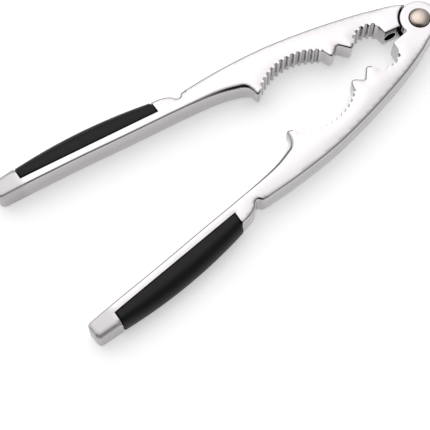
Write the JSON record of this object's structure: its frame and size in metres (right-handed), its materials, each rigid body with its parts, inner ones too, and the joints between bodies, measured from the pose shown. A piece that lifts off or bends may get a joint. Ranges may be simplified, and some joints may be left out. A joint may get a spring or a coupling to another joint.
{
  "type": "nutcracker",
  "caption": "Hand nutcracker with toothed jaws of two sizes between hinged polished metal arms and soft black grips along the backs of the handles",
  "frame": {"origin": "on the rivet's axis, in the plane of the flat rear faces that the nutcracker lies on", "axes": "+X away from the handles along the centre line between them, +Y towards the knuckle arm, +Z out of the front faces towards the domed rivet head"},
  "size_m": [0.1799, 0.075, 0.0131],
  "materials": {
    "arm_chrome": "bright polished plating on a zinc casting",
    "rivet_metal": "warm nickel colour, satin domed head",
    "grip_rubber": "soft satin black moulding"
  },
  "bodies": {
    "clevis_half": {"clevis_arm": "arm_chrome", "pivot_rivet": "rivet_metal", "clevis_arm_grip": "grip_rubber"},
    "knuckle_half": {"knuckle_arm": "arm_chrome", "knuckle_arm_grip": "grip_rubber"}
  },
  "joints": [
    {"name": "arm_hinge", "type": "hinge", "parent": "clevis_half", "child": "knuckle_half", "pos_m": [0, 0, 0.0057], "axis": [0, 0, 1], "range_deg": [-35, 14]}
  ]
}
